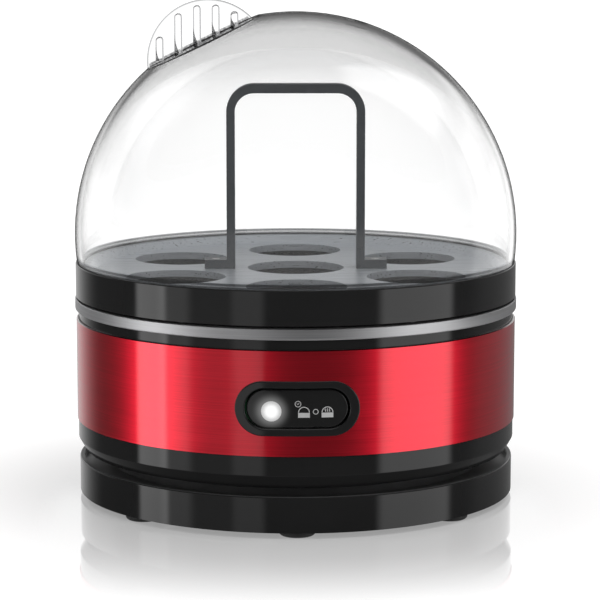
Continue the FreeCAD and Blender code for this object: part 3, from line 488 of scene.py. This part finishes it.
BLACK = (0.016, 0.016, 0.0162)
BY_SLOT = {
    "clear_lid": clear_plastic("clear_lid"),
    "black_gloss": gloss_plastic("black_gloss", BLACK, low=0.05, high=0.1),
    "brushed_steel": brushed_metal(
        "plate_steel", dark=(0.53, 0.56, 0.6), light=(0.62, 0.65, 0.69), lines=straight_lines(1500.0),
        low=0.26, high=0.38, strength=0.05, metal=0.7),
    # The red sleeve's top edge is painted near black, a painted shade that hides its highlight
    "red_metal": brushed_metal(
        "red_metal", dark=(0.84, 0.011, 0.032), light=(0.98, 0.017, 0.044), lines=round_lines(3600.0),
        low=0.31, high=0.37, strength=0.025, coat=1.0, spread=0.2, shaded_top=(0.1, 0.004, 0.006)),
    "handle_dark": grained(
        "handle_dark", (0.026, 0.031, 0.037), rough=0.34, grain=1500.0, depth=0.03, strength=0.15),
    "rubber_black": grained("rubber_black", (0.014, 0.014, 0.014), rough=0.62),
    "silicone": grained("silicone", (0.55, 0.55, 0.53), rough=0.5),
    "aluminium": brushed_metal(
        "aluminium", dark=(0.6, 0.6, 0.61), light=(0.74, 0.74, 0.75), lines=straight_lines(1200.0),
        low=0.28, high=0.42),
    "element_steel": brushed_metal(
        "element_steel", dark=(0.2, 0.19, 0.18), light=(0.34, 0.32, 0.3), lines=turned_lines(500.0),
        low=0.38, high=0.55),
    "zinc_steel": brushed_metal(
        "zinc_steel", dark=(0.5, 0.5, 0.47), light=(0.62, 0.62, 0.6), lines=turned_lines(900.0),
        low=0.25, high=0.4),
    "phenolic": grained("phenolic", (0.05, 0.03, 0.022), rough=0.45),
    "fuse_body": grained("fuse_body", (0.6, 0.58, 0.52), rough=0.35),
    "terminal_white": grained("terminal_white", (0.62, 0.62, 0.58), rough=0.5),
    "board_green": grained("board_green", (0.02, 0.11, 0.045), rough=0.4, grain=600.0),
    "lamp_white": lamp_plastic("lens_lit", centre=0.95, edge=0.42),
}
BY_NODE = {
    "heating_bowl": brushed_metal(
        "rim_steel", dark=(0.48, 0.48, 0.49), light=(0.58, 0.58, 0.59), lines=round_lines(3200.0),
        low=0.4, high=0.5, strength=0.02),
    # Painted light: the neck's satin black is about three times lighter than the other black, to lift the
    # shaded groove
    "cord_spool": grained(
        "neck_black_painted_light", (0.05, 0.05, 0.051), rough=0.5, grain=1600.0, depth=0.02, strength=0.15),
    "switch_rocker": lit_plastic("rocker_plastic", BLACK),
    "indicator_led": lamp_plastic("led_lit", centre=0.9, edge=0.9),
}

for row in frame["record"]["subparts"]:
    piece = nodes[row["node"]]
    piece.data.materials.clear()
    piece.data.materials.append(BY_NODE.get(row["node"], BY_SLOT[row["material_slot"]]))


# Marks printed on the right half of the rocker, laid on its face. Millimetres from the lamp's middle

COOKER_BASE_WIDTH = 3.95
COOKER_BASE_HEIGHT = 1.65
COOKER_LID_MIDDLE = (1.97, 1.75)
COOKER_LID_RADIUS = 1.83
COOKER_LID_LINE = 0.28
COOKER_FOOT = -2.1
FIRST_COOKER = 9.04
SECOND_COOKER = 16.95
DIAL_PLACE = (9.0, 2.55)
DIAL_RADIUS = 0.98
DIAL_LINE = 0.2
DIAL_HANDS = ((8.6, 2.8), (8.92, 2.3), (9.4, 2.9))
DIAL_HANDS_LINE = 0.18
RING_PLACE = (14.97, -0.1)
RING_RADIUS = 0.83
MARK_LINE = 0.24
WAVE_PLACE = (18.92, -0.15)
WAVE_PITCH = 0.7
WAVE_POINTS = 7
WAVE_STEP = 0.18
WAVE_SWAY = 0.15
WAVE_TURN = 1.25


def ray_tree(node):
    mesh = nodes[node].data
    return BVHTree.FromPolygons([v.co for v in mesh.vertices], [p.vertices for p in mesh.polygons])


class Print:
    """Flat printed shapes, drawn in the switch's plane and laid on a face."""

    LIFT = 0.03 * MM
    RAY_START = cad_low.y - 10.0 * MM

    def __init__(self, face):
        self.face = face
        self.lamp_x, self.lamp_z = lens_centre()
        self.points = []
        self.faces = []

    def point(self, x, z):
        start = Vector((self.lamp_x + x * MM, self.RAY_START, self.lamp_z + z * MM))
        hit = self.face.ray_cast(start, Vector((0.0, 1.0, 0.0)))[0]
        self.points.append((hit.x, hit.y - self.LIFT, hit.z))
        return len(self.points) - 1

    def stroke(self, line, width, closed=False):
        """A band of even width along a line of points."""
        count = len(line)
        pairs = []
        for k in range(count):
            before = Vector(line[k - 1] if k or closed else line[0])
            after = Vector(line[(k + 1) % count] if k < count - 1 or closed else line[-1])
            across = (after - before).normalized().orthogonal() * (width / 2)
            middle = Vector(line[k])
            pairs.append([self.point(*(middle + across)), self.point(*(middle - across))])
        for k in range(count if closed else count - 1):
            first, second = pairs[k], pairs[(k + 1) % count]
            self.faces.append((first[0], first[1], second[1], second[0]))

    def arc(self, place, radius, width, sweep=360, steps=24):
        """A ring, or the part of it that starts at the right and turns by the sweep, in degrees."""
        x, z = place
        full = sweep == 360
        turns = [math.radians(sweep * k / steps) for k in range(steps if full else steps + 1)]
        line = [(x + radius * math.cos(turn), z + radius * math.sin(turn)) for turn in turns]
        self.stroke(line, width, closed=full)

    def block(self, left, right, low, high, steps=6):
        """A filled rectangle, in columns that follow the face."""
        columns = []
        for k in range(steps + 1):
            x = left + (right - left) * k / steps
            columns.append((self.point(x, low), self.point(x, high)))
        for first, second in zip(columns, columns[1:]):
            self.faces.append((first[0], second[0], second[1], first[1]))

    def cooker(self, left):
        """A domed lid on a base."""
        x, z = COOKER_LID_MIDDLE
        self.block(left, left + COOKER_BASE_WIDTH, COOKER_FOOT, COOKER_FOOT + COOKER_BASE_HEIGHT)
        self.arc((left + x, COOKER_FOOT + z), COOKER_LID_RADIUS, COOKER_LID_LINE, sweep=180)

    def wave(self, x, z):
        """A wavy upright line."""
        steps = range(WAVE_POINTS)
        line = [(x + WAVE_SWAY * math.sin(k * WAVE_TURN), z + WAVE_STEP * k) for k in steps]
        self.stroke(line, MARK_LINE)

    def make(self, name):
        mesh = bpy.data.meshes.new(name)
        mesh.from_pydata(self.points, [], self.faces)
        mesh.update()
        piece = bpy.data.objects.new(name, mesh)
        scene.collection.objects.link(piece)
        return piece


marks = Print(ray_tree("switch_rocker"))
marks.cooker(FIRST_COOKER)
marks.arc(DIAL_PLACE, DIAL_RADIUS, DIAL_LINE)
marks.stroke(DIAL_HANDS, DIAL_HANDS_LINE)
marks.arc(RING_PLACE, RING_RADIUS, MARK_LINE)
marks.cooker(SECOND_COOKER)
for shift in (-WAVE_PITCH, 0.0, WAVE_PITCH):
    marks.wave(WAVE_PLACE[0] + shift, WAVE_PLACE[1])
switch_marks = marks.make("switch_marks")
switch_marks.data.materials.append(
    grained("mark_grey", (0.6, 0.6, 0.6), rough=0.5, grain=1800.0, depth=0.01, strength=0.1))
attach(switch_marks, "rocker")


# Studio: a white world for the camera, soft boxes round the object for what reflects, a glossy white floor

# Angles are in degrees; azimuths count from the front towards the right, heights from the horizon up.
# Three angles are the low end, the high end and the softness of a window
SOFT_LIGHT = 0.7
WALL_LEVEL = 0.08
WALL_HEIGHTS = (-26.0, 18.0, 9.0)
WALL_FOOT_LEVEL = 0.82
WALL_FOOT = (-13.2, -12.0)
GROUND_LEVEL = 0.45
GROUND_TOP = (-34.0, -20.0)
BACKDROP_START = (100.0, 120.0)
BACKDROP_HEIGHTS = (4.0, 17.0, 3.0)
THROUGH_LEVEL = 0.24
THROUGH_START = (3.0, 10.0)

# Boxes that reflect in plastic and metal: left, right, softness, strength
SOFT_BOXES = (
    (-90.0, -70.8, 2.0, 2.4),
    (-74.0, -56.0, 4.0, 0.9),
    (-54.0, -16.7, 2.5, 0.19),
    (-33.0, -16.7, 2.5, 0.46),
    (43.5, 87.3, 3.0, 1.6),
    (105.0, 182.0, 10.0, 0.115),
    (-182.0, -140.0, 18.0, 0.55),
)

# Patches that reflect in the lid: left, right, low, high, softness, strength
LID_LEVEL = 0.07
LID_FRONT = (-10.0, 95.0, -90.0, 18.0, 10.0, 0.35)
LID_PATCHES = (
    (104.0, 157.0, -60.0, 22.0, 4.0, 1.1),
    (-156.0, -136.0, -60.0, 12.0, 9.0, 0.4),
    (-138.0, -104.0, -60.0, 14.0, 9.0, 0.9),
    (100.0, 135.0, 34.0, 70.0, 5.0, 2.4),
    (-138.0, -100.0, 24.0, 50.0, 8.0, 1.2),
)
LID_BACK = (150.0, 190.0, 20.0, 32.0, 6.0, 0.22)

# Floor: its levels of light, and its reaches in metres from the middle
FLOOR_HALF = 30.0
FLOOR_MATT = grey(0.48)
FLOOR_GLOW_NEAR = 0.56
FLOOR_GLOW_FAR = 0.8
FLOOR_GLOW_REACH = (0.08, 0.22)
MIRROR_GAIN = 1.6
MIRROR_REACH = (0.1, 0.195)
MIRROR_BACK = (-0.03, 0.02)
MIRROR_SIDE = (0.08, 0.094)


def window(g, angle, low, high, soft, strength=1.0):
    """A stretch of an angle with soft ends."""
    rise = g.remap(angle, 0.0, strength, low - soft, low + soft, "SMOOTHSTEP")
    fall = g.step_down(angle, high - soft, high + soft, "SMOOTHSTEP")
    return g.overlap(rise, fall)


def in_gloss(g, azimuth, height):
    """What plastic and metal reflect: dim walls with soft boxes, a grey ground and a low white backdrop."""
    walls = WALL_LEVEL
    for left, right, soft, strength in SOFT_BOXES:
        walls = g.math("ADD", walls, window(g, azimuth, left, right, soft, strength))
    foot = g.remap(height, WALL_FOOT_LEVEL, 1.0, *WALL_FOOT)
    walls = g.overlap(walls, window(g, height, *WALL_HEIGHTS), foot)
    walls = g.math("ADD", walls, g.remap(height, GROUND_LEVEL, 0.0, *GROUND_TOP, "SMOOTHSTEP"))
    behind = g.step_up(g.math("ABSOLUTE", azimuth), *BACKDROP_START, "SMOOTHSTEP")
    return g.math("MAXIMUM", walls, g.overlap(behind, window(g, height, *BACKDROP_HEIGHTS)))


def in_lid(g, azimuth, height):
    """What the lid reflects: a dim room with patches of light, two of them the same on both sides."""
    def patch(angle, left, right, low, high, soft, strength):
        return g.overlap(window(g, angle, left, right, soft, strength), window(g, height, low, high, soft))

    around = g.math("ABSOLUTE", azimuth)
    gleam = patch(around, *LID_FRONT)
    for row in LID_PATCHES:
        gleam = g.math("ADD", gleam, patch(azimuth, *row))
    gleam = g.math("ADD", gleam, patch(around, *LID_BACK))
    return g.math("ADD", gleam, LID_LEVEL)


def studio_world():
    """White to look at, even light on all sides, and surroundings of their own for what reflects."""
    world = bpy.data.worlds.new("studio")
    scene.world = world
    g = Graph(world)
    x, y, z = g.add("SeparateXYZ", {0: g.add("TexCoord").outputs["Generated"]}).outputs
    azimuth = g.math("DEGREES", g.math("ARCTAN2", x, g.math("MULTIPLY", y, -1.0)))
    height = g.math("DEGREES", g.math("ARCSINE", z))
    path = g.add("LightPath").outputs

    def background(colour):
        return g.add("Background", {"Color": colour}).outputs[0]

    def choose(ray, otherwise, chosen):
        return g.add("MixShader", {0: path[ray], 1: otherwise, 2: chosen}).outputs[0]

    through = g.remap(height, 1.0, THROUGH_LEVEL, *THROUGH_START, "SMOOTHSTEP")
    # Only the lid is smooth enough for singular rays
    reflected = choose("Is Singular Ray", background(in_gloss(g, azimuth, height)),
                       background(in_lid(g, azimuth, height)))
    light = choose("Is Glossy Ray", background(grey(SOFT_LIGHT)), reflected)
    light = choose("Is Transmission Ray", light, background(through))
    g.finish(choose("Is Camera Ray", light, background(WHITE)), "OutputWorld")


def studio_floor():
    """A wide white floor, with a reflection that fades in front of the object."""
    mesh = bpy.data.meshes.new("floor")
    corners = [(-FLOOR_HALF, -FLOOR_HALF, 0), (FLOOR_HALF, -FLOOR_HALF, 0),
               (FLOOR_HALF, FLOOR_HALF, 0), (-FLOOR_HALF, FLOOR_HALF, 0)]
    mesh.from_pydata(corners, [], [(0, 1, 2, 3)])
    floor = bpy.data.objects.new("floor", mesh)
    scene.collection.objects.link(floor)
    material, g = new_material("floor_white")
    x, y, _ = g.place()
    radius = g.length(x, y)
    path = g.add("LightPath").outputs
    seen = g.math("MAXIMUM", path["Is Camera Ray"], path["Is Transmission Ray"])
    glow = g.remap(radius, FLOOR_GLOW_NEAR, FLOOR_GLOW_FAR, *FLOOR_GLOW_REACH, "SMOOTHSTEP")
    own = g.add("Emission", {"Color": WHITE, "Strength": g.overlap(seen, glow)}).outputs[0]
    matt = g.add("BsdfDiffuse", {"Color": FLOOR_MATT}).outputs[0]
    white = g.add("AddShader", {0: own, 1: matt}).outputs[0]
    mirror = g.overlap(
        g.remap(radius, MIRROR_GAIN, 0.0, *MIRROR_REACH, "SMOOTHSTEP"),
        g.step_down(y, *MIRROR_BACK, "SMOOTHSTEP"),
        g.step_down(g.math("ABSOLUTE", x), *MIRROR_SIDE, "SMOOTHSTEP"),
        g.add("Fresnel", {"IOR": 1.5}).outputs[0],
    )
    shine = g.add("BsdfGlossy", {"Color": WHITE, "Roughness": 0.03}).outputs[0]
    g.finish(g.add("MixShader", {0: mirror, 1: white, 2: shine}).outputs[0])
    mesh.materials.append(material)
    floor.visible_glossy = False


def area_lamp(name, place, aim, size, power):
    data = bpy.data.lights.new(name, "AREA")
    data.size = size
    data.energy = power
    lamp = bpy.data.objects.new(name, data)
    lamp.location = place
    lamp.rotation_euler = (Vector(aim) - Vector(place)).to_track_quat("-Z", "Y").to_euler()
    lamp.visible_glossy = False
    lamp.visible_transmission = False
    scene.collection.objects.link(lamp)


studio_world()
studio_floor()
area_lamp("top_box", place=(0.25, -0.15, 0.85), aim=(0.0, 0.0, 0.1), size=0.5, power=2.2)


# Camera at the photograph's angle

CAMERA_PLACE = (-0.0066, -0.9359, 0.2104)
CAMERA_TILT = math.radians(81.481)
CAMERA_TURN = math.radians(-0.5)

view = bpy.data.cameras.new("camera")
view.sensor_width = 36.0
view.lens = 155.57
camera = bpy.data.objects.new("camera", view)
camera.location = CAMERA_PLACE
camera.rotation_euler = (CAMERA_TILT, 0.0, CAMERA_TURN)
scene.collection.objects.link(camera)
scene.camera = camera
